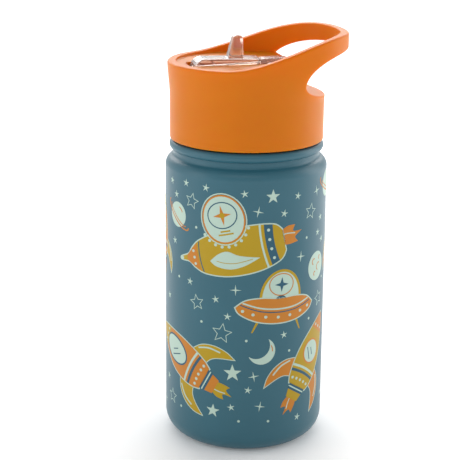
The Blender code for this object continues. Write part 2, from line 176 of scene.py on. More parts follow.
def finish(name, colour, roughness, grain=0.4, depth=0.01, mottle=0.05, spread=0.06, stretch=None,
           **sockets):
    """A surface whose colour varies a little, with a fine grain of a given size and depth in mm."""
    made = bpy.data.materials.new(name)
    made.use_nodes = True
    nodes, links = made.node_tree.nodes, made.node_tree.links
    shader = nodes["Principled BSDF"]
    place = nodes.new("ShaderNodeTexCoord")
    scale = nodes.new("ShaderNodeMapping")
    if stretch:
        scale.inputs["Scale"].default_value = stretch
    links.new(place.outputs["Object"], scale.inputs["Vector"])

    cloud = nodes.new("ShaderNodeTexNoise")
    cloud.inputs["Scale"].default_value = 1 / (18 * MM)
    cloud.inputs["Detail"].default_value = 3.0
    tint = nodes.new("ShaderNodeMix")
    tint.data_type = "RGBA"
    tint.inputs["A"].default_value = (*[c * (1 - mottle) for c in colour], 1)
    tint.inputs["B"].default_value = (*[min(1.0, c * (1 + mottle)) for c in colour], 1)
    links.new(place.outputs["Object"], cloud.inputs["Vector"])
    links.new(cloud.outputs["Fac"], tint.inputs["Factor"])
    links.new(tint.outputs["Result"], shader.inputs["Base Color"])

    fine = nodes.new("ShaderNodeTexNoise")
    fine.inputs["Scale"].default_value = 1 / (grain * MM)
    fine.inputs["Detail"].default_value = 2.0
    links.new(scale.outputs["Vector"], fine.inputs["Vector"])
    gloss = nodes.new("ShaderNodeMapRange")
    gloss.inputs["To Min"].default_value = max(0.0, roughness - spread)
    gloss.inputs["To Max"].default_value = roughness + spread
    links.new(fine.outputs["Fac"], gloss.inputs["Value"])
    links.new(gloss.outputs["Result"], shader.inputs["Roughness"])
    bump = nodes.new("ShaderNodeBump")
    bump.inputs["Distance"].default_value = depth * MM
    links.new(fine.outputs["Fac"], bump.inputs["Height"])
    links.new(bump.outputs["Normal"], shader.inputs["Normal"])
    for socket, value in sockets.items():
        shader.inputs[socket.replace("_", " ")].default_value = value
    return made


def brushed(name, colour, roughness):
    """Metal turned on a lathe: its fine marks run round the axis."""
    return finish(name, colour, roughness, grain=0.5, depth=0.004, mottle=0.03, spread=0.08,
                  stretch=(0.05, 0.05, 3.0), Metallic=1.0)


# ------------------------------------------------------------------ turned pieces

def arc(centre, radius, start, end, step=6.0):
    """Points (r, z) on an arc, angles in degrees."""
    steps = max(2, round(abs(end - start) / step))
    angles = [math.radians(start + (end - start) * i / steps) for i in range(steps + 1)]
    return [(centre[0] + radius * math.cos(a), centre[1] + radius * math.sin(a)) for a in angles]


def inset(points, distance):
    """The same open line moved to its left by a distance, with mitred corners."""
    line = [Vector(p) for p in points]
    moved = []
    for i, point in enumerate(line):
        before = (point - line[i - 1]).normalized() if i else None
        after = (line[i + 1] - point).normalized() if i + 1 < len(line) else None
        normals = [Vector((-d.y, d.x)) for d in (before, after) if d is not None]
        normal = sum(normals, Vector((0.0, 0.0))).normalized()
        moved.append(tuple(point + normal * distance / normal.dot(normals[0])))
    return moved


def coat(mesh, material, sharp=SHARP_ANGLE):
    """Gives a mesh its material, and smooth shading but for its sharp edges."""
    mesh.materials.append(material)
    mesh.shade_smooth()
    mesh.set_sharp_from_angle(angle=math.radians(sharp))


def place_piece(name, mesh, material, body, replaced=(), sharp=SHARP_ANGLE):
    """Puts a finished mesh in the scene as a piece that rides on a body."""
    coat(mesh, material, sharp)
    piece = bpy.data.objects.new(name, mesh)
    bpy.context.scene.collection.objects.link(piece)
    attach(piece, body)
    if replaced:
        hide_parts(*replaced)
    return piece


def mesh_piece(name, points, faces, material, body, replaced=(), sharp=SHARP_ANGLE):
    """A piece from points in mm."""
    mesh = bpy.data.meshes.new(name)
    mesh.from_pydata([tuple(c * MM for c in p) for p in points], [], faces)
    return place_piece(name, mesh, material, body, replaced, sharp)


def turned_faces(profile, segments, centre=(0.0, 0.0), closed=True):
    """Points and faces of a profile turned about Z; the profile runs down its outer side."""
    points, faces, rows = [], [], []
    for r, z in profile:
        start = len(points)
        if r < 0.001:
            points.append((*centre, z))
            rows.append([start] * segments)
            continue
        for i in range(segments):
            angle = 2 * math.pi * i / segments
            points.append((centre[0] + r * math.cos(angle), centre[1] + r * math.sin(angle), z))
        rows.append(list(range(start, start + segments)))
    following = rows[1:] + rows[:1] if closed else rows[1:]
    for upper, lower in zip(rows, following):
        for i in range(segments):
            j = (i + 1) % segments
            corners = list(dict.fromkeys((upper[i], lower[i], lower[j], upper[j])))
            if len(corners) > 2:
                faces.append(corners)
    return points, faces


def weigh_normals(piece):
    """Keeps flat and straight stretches flat beside their rounded edges."""
    piece.modifiers.new("even_shading", "WEIGHTED_NORMAL").keep_sharp = True


def turned(name, profile, material, body, replaced=(), segments=128, centre=(0.0, 0.0),
           closed=True):
    """A piece made on the lathe from its profile of (r, z) points."""
    points, faces = turned_faces(profile, segments, centre, closed)
    weigh_normals(mesh_piece(name, points, faces, material, body, replaced))


def thread_faces(root_r, crest_r, start_z, start_turn, turns):
    """Points and faces of a helical ridge of rounded section that fades out at both ends."""
    per_turn = 120
    steps = round(turns * per_turn)
    embed = math.copysign(0.35, root_r - crest_r)
    buried = root_r + embed / 2
    points, faces = [], []
    for i in range(steps + 1):
        turn = start_turn + turns * i / steps
        angle = 2 * math.pi * turn
        z = start_z + PITCH * (turn - start_turn)
        fade = float(smooth_step(min(i, steps - i) * 8 / per_turn))
        reach = buried + (crest_r - buried) * fade
        shy = reach - math.copysign(0.3, crest_r - root_r) * fade
        section = [(root_r + embed, -1.1), (shy, -0.7), (reach, -0.3), (reach, 0.3), (shy, 0.7),
                   (root_r + embed, 1.1)]
        points += [(r * math.cos(angle), r * math.sin(angle), z + dz) for r, dz in section]
    count = len(section)
    for i in range(steps):
        for k in range(count):
            following = (k + 1) % count
            low, high = i * count, (i + 1) * count
            faces.append((low + k, low + following, high + following, high + k))
    faces += [tuple(range(count))[::-1], tuple(range(steps * count, (steps + 1) * count))]
    if crest_r < root_r:
        faces = [face[::-1] for face in faces]
    return points, faces


def together(*shapes):
    """Several shapes as the points and faces of one."""
    points, faces = [], []
    for more, sides in shapes:
        faces += [tuple(corner + len(points) for corner in side) for side in sides]
        points += more
    return points, faces


# ------------------------------------------------------------------ moulded pieces

def smooth_step(value):
    """0 below 0, 1 above 1, and an even S between them."""
    t = np.clip(value, 0.0, 1.0)
    return t * t * (3 - 2 * t)


def meet(a, b, radius=0.0):
    """The solid common to two, given by distances, with its new edge rounded."""
    both = np.maximum(a, b)
    if not radius:
        return both
    return np.minimum(both, -radius) + np.hypot(np.maximum(a + radius, 0), np.maximum(b + radius, 0))


def merge(a, b, radius=0.0):
    """Two solids as one, with a fillet between them."""
    return -meet(-a, -b, radius)


def carve(solid, space, radius=0.0):
    """A solid less a space, with its new edge rounded."""
    return meet(solid, -space, radius)


def slopes(field, points):
    """Gradient of a field at points."""
    step = 0.01
    columns = []
    for axis in range(3):
        shift = np.zeros(3)
        shift[axis] = step
        columns.append((field(points + shift) - field(points - shift)) / (2 * step))
    return np.stack(columns, -1)


def moulded(name, field, low, high, cell, material, body, replaced=()):
    """A closed mesh on the zero surface of a field: one point in each cell that it crosses."""
    axes = [np.arange(a, b + cell, cell) for a, b in zip(low, high)]
    grid = np.stack(np.meshgrid(*axes, indexing="ij"), -1)
    value = field(grid)
    shape = tuple(n - 1 for n in value.shape)
    total, count = np.zeros((*shape, 3)), np.zeros(shape)
    crossings = []
    for axis in range(3):
        along, u, v = axis, (axis + 1) % 3, (axis + 2) % 3
        lower = [slice(None)] * 3
        upper = [slice(None)] * 3
        lower[along], upper[along] = slice(0, -1), slice(1, None)
        start, end = value[tuple(lower)], value[tuple(upper)]
        crossed = (start < 0) != (end < 0)
        share = np.where(crossed, start / np.where(crossed, start - end, 1.0), 0.0)
        place = grid[tuple(lower)].copy()
        place[..., along] += share * cell
        place *= crossed[..., None]
        for i in (0, 1):
            for j in (0, 1):
                part = [slice(None)] * 3
                part[u], part[v] = slice(i, i + shape[u]), slice(j, j + shape[v])
                total += place[tuple(part)]
                count += crossed[tuple(part)]
        crossings.append((np.argwhere(crossed), start[crossed] < 0))
    filled = count > 0
    index = np.full(shape, -1)
    index[filled] = np.arange(filled.sum())
    points = total[filled] / count[filled][:, None]
    for _ in range(4):
        slope = slopes(field, points)
        steep = np.maximum((slope ** 2).sum(-1), 0.05)
        move = slope * (field(points) / steep)[:, None]
        points -= np.clip(move, -0.4 * cell, 0.4 * cell)
    quads = []
    for axis, (edges, outward) in enumerate(crossings):
        u, v = (axis + 1) % 3, (axis + 2) % 3
        back_u, back_v = np.zeros(3, int), np.zeros(3, int)
        back_u[u], back_v[v] = 1, 1
        cells = [edges - back_u - back_v, edges - back_v, edges, edges - back_u]
        quad = np.stack([index[tuple(c.T)] for c in cells], -1)
        quad[~outward] = quad[~outward][:, ::-1]
        quads.append(quad)
    slope = slopes(field, points)
    normals = slope / np.linalg.norm(slope, axis=1)[:, None]
    piece = mesh_piece(name, points.tolist(), np.concatenate(quads).tolist(), material, body,
                       replaced, sharp=180)
    piece.data.normals_split_custom_set_from_vertices(normals.tolist())


def split(points):
    """The x, y and z of an array of points."""
    return points[..., 0], points[..., 1], points[..., 2]


# ------------------------------------------------------------------ steel body

def make_outer_wall(paint, steel):
    """The painted wall up to the bead, and the bare threaded neck above it."""
    fillet = NECK_BAND_FILLET
    bead_start = -math.degrees(math.acos((NECK_BAND_R - BEAD_CENTRE[0]) / BEAD_R))
    ledge_z = BEAD_CENTRE[1] + BEAD_R
    outside = [(BASE_FLANGE_R, 0.0)]
    outside += arc((BODY_R - BASE_CORNER_R, BASE_CORNER_R), BASE_CORNER_R, -90, 0, 4)
    straight = outside[-1][1]
    outside += [(BODY_R, straight + (SHOULDER_Z - straight) * i / 12) for i in range(1, 12)]
    outside += arc((BODY_R - SHOULDER_R, SHOULDER_Z), SHOULDER_R, 0, SHOULDER_TURN, 5)
    outside += arc((NECK_BAND_R + fillet, NECK_BAND_Z), fillet, 180 + SHOULDER_TURN, 180, 9)
    outside += arc(BEAD_CENTRE, BEAD_R, bead_start, 90, 8)
    corner = (NECK_R + NECK_FILLET, ledge_z + NECK_FILLET)
    outside.append((corner[0] + 0.4, ledge_z))
    turned("painted_body", outside[::-1] + inset(outside, STEEL), paint, "bottle",
           ["outer_shell"], PRINT_FACETS)

    neck = [(corner[0] + 0.3, ledge_z)] + arc(corner, NECK_FILLET, -90, -180, 15)
    neck += arc((NECK_R - 0.25, NECK_TOP_Z - 0.25), 0.25, 0, 90, 30)
    inner = NECK_R - STEEL
    neck_wall = neck[::-1] + [(inner + 0.8, ledge_z - STEEL), (inner, ledge_z + 1.5), (inner, NECK_TOP_Z)]
    ridge = thread_faces(NECK_R, THREAD_CREST_R, THREAD_START_Z, 0.0, NECK_THREAD_TURNS)
    points, faces = together(turned_faces(neck_wall, 192), ridge)
    weigh_normals(mesh_piece("steel_neck", points, faces, steel, "bottle"))


def make_flask(steel):
    """The inner vessel, whose rim is rolled out over the neck."""
    turn = INNER_R - INNER_NECK_R
    flask = [(0.0, INNER_BOTTOM_Z)]
    flask += arc((INNER_R - INNER_CORNER_R, INNER_BOTTOM_Z + INNER_CORNER_R), INNER_CORNER_R, -90, 0)
    flask += arc((INNER_NECK_R, INNER_SHOULDER_Z), turn, 0, 65)
    flask += [(INNER_NECK_R, INNER_SHOULDER_Z + turn + 1.5), (INNER_NECK_R, RIM_TOP_Z - STEEL)]
    within = inset(flask, STEEL)
    within[0] = (0.0, INNER_BOTTOM_Z + STEEL)
    rim_r = NECK_R - 0.2
    rim = [(INNER_NECK_R - STEEL, RIM_TOP_Z - 0.2), (INNER_NECK_R - STEEL + 0.2, RIM_TOP_Z),
           (rim_r - 0.3, RIM_TOP_Z), (rim_r, RIM_TOP_Z - 0.3), (rim_r, NECK_TOP_Z + 0.3),
           (INNER_NECK_R, NECK_TOP_Z + 0.3)]
    turned("steel_flask", within[:-1] + rim + flask[:-1][::-1], steel, "bottle",
           ["inner_flask"], closed=False)


def make_foot(steel, rubber):
    """The stamped plate under the body and the ringed pad in its recess."""
    edge_r = BASE_FLANGE_R - 0.3
    plate = [(1.6, 2.9), (PAD_R + 0.6, 2.9), (edge_r - 0.3, 1.9), (edge_r, 1.6), (edge_r, 0.9),
             (PAD_R + 1.2, 0.9), (PAD_R + 0.3, 2.2), (1.6, 2.2)]
    turned("foot_plate", plate, steel, "bottle", ["base_plate"])
    pad = [(0.0, PAD_H), (PAD_R - 0.2, PAD_H), (PAD_R, PAD_H - 0.2), (PAD_R, 0.5), (PAD_R - 0.5, 0.0)]
    ring_r = PAD_R - 2.0
    while ring_r > PAD_RING_PITCH:
        pad += [(ring_r, 0.0), (ring_r - 0.3, 0.4), (ring_r - 0.9, 0.4), (ring_r - 1.2, 0.0)]
        ring_r -= PAD_RING_PITCH
    turned("foot_rubber", pad + [(0.0, 0.0)], rubber, "bottle", ["foot_pad"],
           closed=False)


# ------------------------------------------------------------------ lid

def lid_side(x, y, z, thickness=0.0):
    """Distance outside the lid's side: round at the skirt, drawn out into the loop above."""
    grown = smooth_step((z - FLARE_START_Z) / (FLARE_END_Z - FLARE_START_Z))
    front = SKIRT_R + (LOOP_FRONT_R - SKIRT_R) * grown - thickness
    tip = SKIRT_R + (LOOP_TIP_X - SKIRT_R) * grown - thickness
    reach = np.where(x > 0, tip, front)
    power = np.where(x > 0, 2.0 + (LOOP_POWER - 2.0) * grown, 2.0)
    across, sideways = np.abs(x) / reach, np.abs(y) / front
    total = np.maximum(across ** power + sideways ** power, 1e-9)
    slope = np.hypot(across ** (power - 1) / reach, sideways ** (power - 1) / front)
    slope = np.maximum(slope * total ** (1 / power - 1), 1e-3)
    return (total ** (1 / power) - 1) / slope


def rim_top(x):
    """Height of the lid's rim, which sweeps up from the drinking side into the loop."""
    return RIM_LOW_Z + RIM_RISE * smooth_step((x - RIM_RISE_START_X) / RIM_RISE_LENGTH)


def above_rim(x, z):
    """Distance above the rim."""
    lean = rim_top(x + 0.5) - rim_top(x - 0.5)
    return (z - rim_top(x)) / np.hypot(1.0, lean)


def finger_space(x, z):
    """Distance outside the finger gap: two quarter ellipses from one nose point."""
    nose_x, nose_z = FINGER_NOSE
    length = np.where(z > nose_z, FINGER_UPPER[0], FINGER_LOWER[0])
    height = np.where(z > nose_z, FINGER_UPPER[1], FINGER_LOWER[1])
    back = np.minimum(x - nose_x - length, 0) / length
    up = (z - nose_z) / height
    total = np.maximum(np.hypot(back, up), 1e-6)
    return (total - 1) / np.maximum(np.hypot(back / length, up / height) / total, 1e-3)


def spout_space(x, y, z):
    """Distance outside the channel and pocket that the folded spout lies in."""
    half = np.interp(x, (-14.6, -13.8, ARM_END_X + 1, CHANNEL_END_X), (POCKET_HALF, 6.0, 5.5, 5.2))
    plan = meet(np.abs(y) - half, POCKET_FRONT_X - x, 2.0)
    channel = meet(meet(plan, x - CHANNEL_END_X), CHANNEL_FLOOR_Z - z, 0.4)
    along = np.maximum(POCKET_FRONT_X + 1.2 - x, x - (PIVOT_X + BARREL_R + 0.6))
    pocket = meet(np.maximum(along, np.abs(y) - POCKET_HALF), POCKET_FLOOR_Z - z, 0.4)
    return merge(channel, pocket, 0.3)


def lid_field(points):
    """Distance outside the lid moulding."""
    x, y, z = split(points)
    from_axis = np.hypot(x, y)
    from_socket = np.hypot(x - PIVOT_X, y)
    solid = meet(lid_side(x, y, z), above_rim(x, z), RIM_ROLL_R)
    solid = meet(solid, SKIRT_BOTTOM_Z - z, 0.5)
    bowl = meet(lid_side(x, y, np.full_like(z, FLARE_END_Z), RIM_WALL), DECK_Z - z, 0.3)
    solid = carve(solid, bowl, 0.4)
    solid = carve(solid, finger_space(x, z), 0.8)
    solid = carve(solid, spout_space(x, y, z), 0.35)
    solid = carve(solid, np.maximum(from_axis - SKIRT_BORE_R, z - SKIRT_BORE_TOP_Z), 0.4)
    ribs = np.maximum(np.abs(y) - 7.8, CHANNEL_FLOOR_Z - 2.0 - z)
    pocket_rib = np.maximum(np.abs(y) - 8.8, POCKET_FLOOR_Z - 2.0 - z)
    ribs = merge(ribs, np.maximum(pocket_rib, np.maximum(POCKET_FRONT_X - 2 - x, x + 13)))
    ribs = merge(ribs, from_socket - BOSS_R)
    hollow = np.maximum(from_axis - LID_CAVITY_R, z - DECK_UNDERSIDE_Z)
    hollow = np.maximum(hollow, np.maximum(SKIRT_BORE_TOP_Z - 0.5 - z, x - LID_CAVITY_BACK_X))
    solid = carve(solid, carve(hollow, ribs))
    solid = carve(solid, np.maximum(from_socket - SOCKET_R - 0.3, z - POCKET_FLOOR_Z - 0.5))
    solid = carve(solid, np.hypot(x - VENT_X, y - VENT_Y) - 1.0)
    trunnion_hole = np.hypot(x - PIVOT_X, z - PIVOT_Z) - TRUNNION_R - 0.3
    return carve(solid, np.maximum(trunnion_hole, np.abs(y) - TRUNNION_HALF - 0.3))


def make_lid(plastic, silicone):
    """The lid moulding and what is fitted in it."""
    moulded("lid_moulding", lid_field, (-37, -37, 138.8), (47, 37, 189), LID_CELL, plastic, "lid",
            ["lid_shell"])

    top, low = SKIRT_BORE_TOP_Z - 0.3, SKIRT_BOTTOM_Z + 0.6
    outer_r, root_r, plate_z = SKIRT_BORE_R - 0.3, LID_THREAD_ROOT_R, top - 1.6
    cup = [(outer_r - 0.3, top), (outer_r, top - 0.3), (outer_r, low + 0.3), (outer_r - 0.3, low),
           (root_r + 0.2, low), (root_r, low + 0.2), (root_r, plate_z)]
    hole = SOCKET_R + 0.3
    liner = liner_plate(plate_z, top, outer_r - 0.3, root_r, hole)
    ridge = thread_faces(root_r, LID_THREAD_CREST_R, THREAD_START_Z + PITCH * (LID_THREAD_LEAD_IN - 0.5),
                         LID_THREAD_LEAD_IN, LID_THREAD_TURNS)
    points, faces = together(turned_faces(cup, 144, closed=False), liner, ridge)
    weigh_normals(mesh_piece("lid_thread_cup", points, faces, plastic, "lid",
                             ["lid_liner"]))
    gasket = [(25.8, plate_z - 0.3), (29.7, plate_z - 0.3), (29.9, plate_z - 0.5),
              (29.9, RIM_TOP_Z + 0.7), (29.5, RIM_TOP_Z + 0.3), (26.2, RIM_TOP_Z + 0.3),
              (25.8, RIM_TOP_Z + 0.7)]
    turned("sealing_ring", gasket, silicone, "gasket_ring", ["lid_gasket"])

    head_z, foot_z = DECK_Z + 0.3, CHANNEL_FLOOR_Z - 2.3
    valve = [(0.0, head_z + 0.75), (0.7, head_z + 0.7), (1.3, head_z + 0.5), (1.6, head_z + 0.2),
             (1.6, head_z), (0.7, head_z), (0.7, foot_z), (1.3, foot_z - 0.3), (0.7, foot_z - 1.6),
             (0.0, foot_z - 1.6)]
    turned("vent_flap", valve, silicone, "lid", ["vent_valve"], 40,
           (VENT_X, VENT_Y), closed=False)


def liner_plate(low, high, top_r, bottom_r, hole_r):
    """The liner's disc between its wall's two edges, with a round hole for the straw's socket."""
    count = 144
    points, faces = [], []

    def circle(radius, z, middle_x=0.0):
        start = len(points)
        for i in range(count):
            angle = 2 * math.pi * i / count
            points.append((middle_x + radius * math.cos(angle), radius * math.sin(angle), z))
        return start

    rings = [circle(top_r, high), circle(hole_r, high, PIVOT_X), circle(hole_r, low, PIVOT_X),
             circle(bottom_r, low)]
    for outer, inner in zip(rings, rings[1:]):
        for i in range(count):
            j = (i + 1) % count
            faces.append((outer + i, outer + j, inner + j, inner + i))
    return points, faces


# ------------------------------------------------------------------ spout

def bore_z(x):
    """Height of the drinking bore's axis: it rises from the pivot to the mouthpiece."""
    return PIVOT_Z + (MOUTH_AXIS_Z - PIVOT_Z) * (x - PIVOT_X) / (MOUTH_TIP_X - PIVOT_X)


def spout_field(points):
    """Distance outside the clear spout: barrel, arm, thumb tab, pivot pins and spigot, less its bore."""
    x, y, z = split(points)
    from_pivot = np.hypot(x - PIVOT_X, z - PIVOT_Z)
    from_bore = np.hypot(y, z - bore_z(x))
    barrel = meet(from_pivot - BARREL_R, np.abs(y) - BARREL_HALF, 0.5)
    stations = (PIVOT_X + 0.5, -12.0, ARM_END_X)
    half = np.interp(x, stations, (5.6, 5.5, 5.0))
    low = np.interp(x, stations, (168.6, 169.6, 170.5))
    high = np.interp(x, stations, (176.15, 176.1, 175.8))
    arm = meet(np.abs(y) - half, np.abs(z - (low + high) / 2) - (high - low) / 2, 0.9)
    arm = meet(arm, np.maximum(PIVOT_X + 0.5 - x, x - ARM_END_X), 0.4)
    risen = np.clip((z - TAB_FOOT_Z) / (TAB_TOP_Z - TAB_FOOT_Z), -0.1, 1.1)
    tab_back, tab_front = -9.6 + 2.9 * risen, -2.3 - 0.4 * risen
    tab = meet(np.maximum(tab_back - x, x - tab_front), np.abs(y) - 3.3 + 0.6 * risen, 1.1)
    tab = meet(tab, np.maximum(TAB_FOOT_Z - z, z - TAB_TOP_Z), 1.2)
    solid = merge(merge(barrel, arm, 0.3), tab, 0.6)
    solid = merge(solid, np.maximum(from_pivot - TRUNNION_R, np.abs(y) - TRUNNION_HALF), 0.2)
    spigot = np.maximum(from_bore - SPIGOT_R, np.maximum(-x, x - SPIGOT_END_X))
    return carve(merge(solid, spigot), from_bore - BORE_R)


def mouth_field(points):
    """Distance outside the soft mouthpiece, which is pushed on the spout's spigot."""
    x, y, z = split(points)
    stations = (ARM_END_X + 0.3, 7.5, 13.0, 17.4, MOUTH_TIP_X)
    half = np.interp(x, stations, (4.3, 4.5, 4.3, 3.9, 3.1))
    tall = np.interp(x, stations, (2.55, 2.8, 2.75, 2.45, 1.95))
    from_bore = np.hypot(y, z - bore_z(x))
    solid = meet(np.abs(y) - half, np.abs(z - bore_z(x)) - tall, 2.0)
    solid = meet(solid, np.maximum(ARM_END_X + 0.3 - x, x - MOUTH_TIP_X), 0.7)
    socket = np.maximum(from_bore - SPIGOT_R - 0.25, x - SPIGOT_END_X - 0.3)
    return carve(solid, merge(socket, from_bore - BORE_R), 0.2)


def make_spout(clear, soft, straw_plastic):
    moulded("clear_spout", spout_field, (-26, -9, 165.5), (10.2, 9, 187), 0.3, clear, "flip_spout",
            ["spout"])
    moulded("soft_mouthpiece", mouth_field, (4, -6, 168.5), (20.2, 6, 177.5), 0.25, soft,
            "flip_spout", ["mouthpiece"])
    tube = [(STRAW_BORE_R + 0.2, STRAW_TOP_Z), (STRAW_R - 0.2, STRAW_TOP_Z),
            (STRAW_R, STRAW_TOP_Z - 0.2), (STRAW_R, STRAW_BOTTOM_Z + 0.2),
            (STRAW_R - 0.2, STRAW_BOTTOM_Z), (STRAW_BORE_R, STRAW_BOTTOM_Z),
            (STRAW_BORE_R, STRAW_TOP_Z - 0.2)]
    turned("drinking_straw", tube, straw_plastic, "lid", ["straw"], 48,
           (PIVOT_X, 0.0))


# ------------------------------------------------------------------ print on the wall

INKS = {}


def flat_ink(ink):
    """The flat print of one ink, begun when it is first used."""
    if ink not in INKS:
        INKS[ink] = bmesh.new()
    return INKS[ink]


def area(ink, layer, outline):
    """A filled outline of (s, z) points: s runs along the girth from the panel's middle."""
    bm = flat_ink(ink)
    bm.faces.new([bm.verts.new((s, layer, z)) for s, z in outline]).normal_update()


def stroke(ink, layer, line, width, closed=False):
    """A line of ink of even width."""
    bm = flat_ink(ink)
    count = len(line)
    pairs = []
    for i, here in enumerate(line):
        before = line[i - 1] if i or closed else here
        after = line[(i + 1) % count] if i + 1 < count or closed else here
        into = (Vector(here) - Vector(before)).normalized()
        away = (Vector(after) - Vector(here)).normalized()
        along = (into + away).normalized()
        spread = max(0.5, along.dot(away if away.length else into))
        side = Vector((-along.y, along.x)) * width / 2 / spread
        ends = (Vector(here) + side, Vector(here) - side)
        pairs.append([bm.verts.new((p.x, layer, p.y)) for p in ends])
    following = pairs[1:] + pairs[:1] if closed else pairs[1:]
    for (a, b), (c, d) in zip(pairs, following):
        bm.faces.new((a, b, d, c)).normal_update()


def stamp(s, z, turn=0.0, size=1.0, flip=1):
    """Where a motif's own (u, v) points go on the wall."""
    cosine, sine = size * math.cos(math.radians(turn)), size * math.sin(math.radians(turn))
    return lambda points: [(s + u * cosine - flip * v * sine, z + u * sine + flip * v * cosine)
                           for u, v in points]


def curve(points, closed=False, steps=5):
    """A smooth line through points."""
    count = len(points)
    line = []
    for i in range(count if closed else count - 1):
        if closed:
            a, b, c, d = (Vector(points[(i + k) % count]) for k in (-1, 0, 1, 2))
        else:
            a, b, c, d = (Vector(points[min(max(i + k, 0), count - 1)]) for k in (-1, 0, 1, 2))
        for k in range(steps):
            t = k / steps
            spot = 2 * b + (c - a) * t + (2 * a - 5 * b + 4 * c - d) * t ** 2
            line.append(tuple((spot + (3 * b - a - 3 * c + d) * t ** 3) / 2))
    if not closed:
        line.append(tuple(points[-1]))
    return line


def oval(centre, across, up, start=0, end=360, steps=36):
    """Points on an ellipse, or on part of one."""
    whole = end - start == 360
    count = steps if whole else steps + 1
    angles = [math.radians(start + (end - start) * i / steps) for i in range(count)]
    return [(centre[0] + across * math.cos(a), centre[1] + up * math.sin(a)) for a in angles]


def star(points, outer, inner):
    """A star's outline with one point upwards."""
    radii = [outer, inner] * points
    angles = [math.radians(90 + 180 * i / points) for i in range(2 * points)]
    return [(r * math.cos(a), r * math.sin(a)) for r, a in zip(radii, angles)]


def hull_band(half, start, end, bulge=0.8):
    """A band across a hull between two stations, curved like a hoop seen from the side."""
    steps = [i / 8 for i in range(9)]
    edge = [(end + bulge * (1 - (2 * t - 1) ** 2), half(end) * (1 - 2 * t)) for t in steps]
    back = [(start + bulge * (1 - (2 * t - 1) ** 2), half(start) * (2 * t - 1)) for t in steps]
    return edge + back


def hull(profile):
    """A hull's whole outline from its upper half, and its half width at a station."""
    upper = curve(profile)
    stations, widths = zip(*sorted(upper))
    outline = upper + [(u, -v) for u, v in upper[::-1] if v > 0.01]
    return outline, lambda u: float(np.interp(u, stations, widths))


def flame(at, root, low, high, length, ink, layer):
    """Three tongues of fire behind a station."""
    middle, half = (low + high) / 2, (high - low) / 2
    tongues = [(root, high), (root - length * 0.35, high + half * 0.3),
               (root - length * 0.7, high + half * 0.1), (root - length * 0.55, middle + half * 0.35),
               (root - length, middle), (root - length * 0.6, middle - half * 0.5),
               (root - length * 0.7, low - half * 0.25), (root - length * 0.3, low - half * 0.2),
               (root, low)]
    area(ink, layer, at(curve(tongues[:3])[:-1] + curve(tongues[2:5])[:-1] + curve(tongues[4:7])[:-1]
                        + curve(tongues[6:])))
    stroke("mint", layer + 1, at(curve([(root - 0.5, middle + half * 0.4),
                                        (root - length * 0.3, middle + half * 0.3),
                                        (root - length * 0.62, middle)])), 0.45)


def porthole(at, centre, radius, stretch, ring_ink, layer):
    """An empty window with a glint, longer than it is wide by a stretch."""
    area(ring_ink, layer, at(oval(centre, radius * stretch + 0.8, radius + 0.8)))
    area("mint", layer + 1, at(oval(centre, radius * stretch, radius)))
    for shift, reach in ((-0.3, 0.42), (0.02, 0.26)):
        ends = [(centre[0] + (shift + k * reach) * radius, centre[1] + (k * reach - shift) * radius)
                for k in (-1, 1)]
        stroke("navy", layer + 2, at(ends), 0.5)


def bubble_ship(at, body="mustard", trim="orange"):
    """A plump ship with a glass bubble over its cabin; it points along +u."""
    outline, half = hull([(-19.0, 5.0), (-15.5, 8.4), (-5.0, 10.4), (8.0, 10.1), (18.5, 7.6),
                          (23.5, 4.6), (26.5, 1.7), (30.5, 0.8)])
    flame(at, -18.6, -2.4, 4.4, 10.5, trim, 0)
    stroke("mint", 0, at(outline), 1.1, closed=True)
    area(body, 1, at(outline))
    area("mint", 2, at(oval((31.4, 0.0), 1.2, 1.1)))
    area(trim, 2, at(hull_band(half, 20.8, 27.2, 0.5)))
    for v in (-0.62, 0.0, 0.62):
        area("mint", 3, at(oval((23.4, v * half(23.4)), 0.65, 0.65, steps=12)))
    stroke("navy", 2, at([(19.6 + 0.8 * (1 - t * t), t * half(19.6)) for t in
                          (-0.96, -0.6, -0.3, 0.0, 0.3, 0.6, 0.96)]), 0.5)
    cabin = (5.5, 15.4)
    stroke("mint", 2, at(oval(cabin, 10.3, 11.5)), 0.5, closed=True)
    area(trim, 3, at(oval(cabin, 9.8, 11.0)))
    area("mint", 4, at(oval(cabin, 9.1, 10.3)))
    stroke("navy", 5, at(oval((5.6, 17.2), 6.6, 5.8)), 0.5, closed=True)
    area(trim, 5, at([(u * 0.9 + 5.6, v + 17.2) for u, v in star(4, 4.6, 1.3)]))
    area("mustard", 6, at(oval((5.6, 17.2), 1.2, 1.2, steps=16)))
    for v, length in ((7.6, 3.4), (9.0, 2.2)):
        stroke("mustard", 5, at([(5.6 - length, v + 1.0), (5.6 + length, v + 1.0)]), 0.7)
    for spot in oval(cabin, 11.3, 12.5, 207, 333, 8):
        area("mint", 3, at(oval(spot, 0.7, 0.7, steps=12)))
    wing = curve([(-6.8, -4.6), (0.5, -6.8), (7.0, -7.2), (13.0, -5.0), (15.6, -2.2)])
    wing += curve([(15.6, -2.2), (11.0, 0.4), (6.6, 0.9), (2.0, -1.8), (-6.8, -4.6)])[1:-1]
    area("mint", 3, at(wing))
    stroke(body, 4, at(curve([(-3.5, -4.5), (4.0, -4.9), (9.0, -4.0), (12.5, -2.6)])), 0.3)
    area("mint", 3, at(hull_band(half, -10.0, -9.1)))
    area("navy", 3, at(hull_band(half, -15.2, -11.4)))
    for v in (-0.72, -0.24, 0.24, 0.72):
        area("mint", 4, at(oval((-13.3 + 0.8 * (1 - v * v), v * half(-13.3)), 0.7, 0.7, steps=12)))


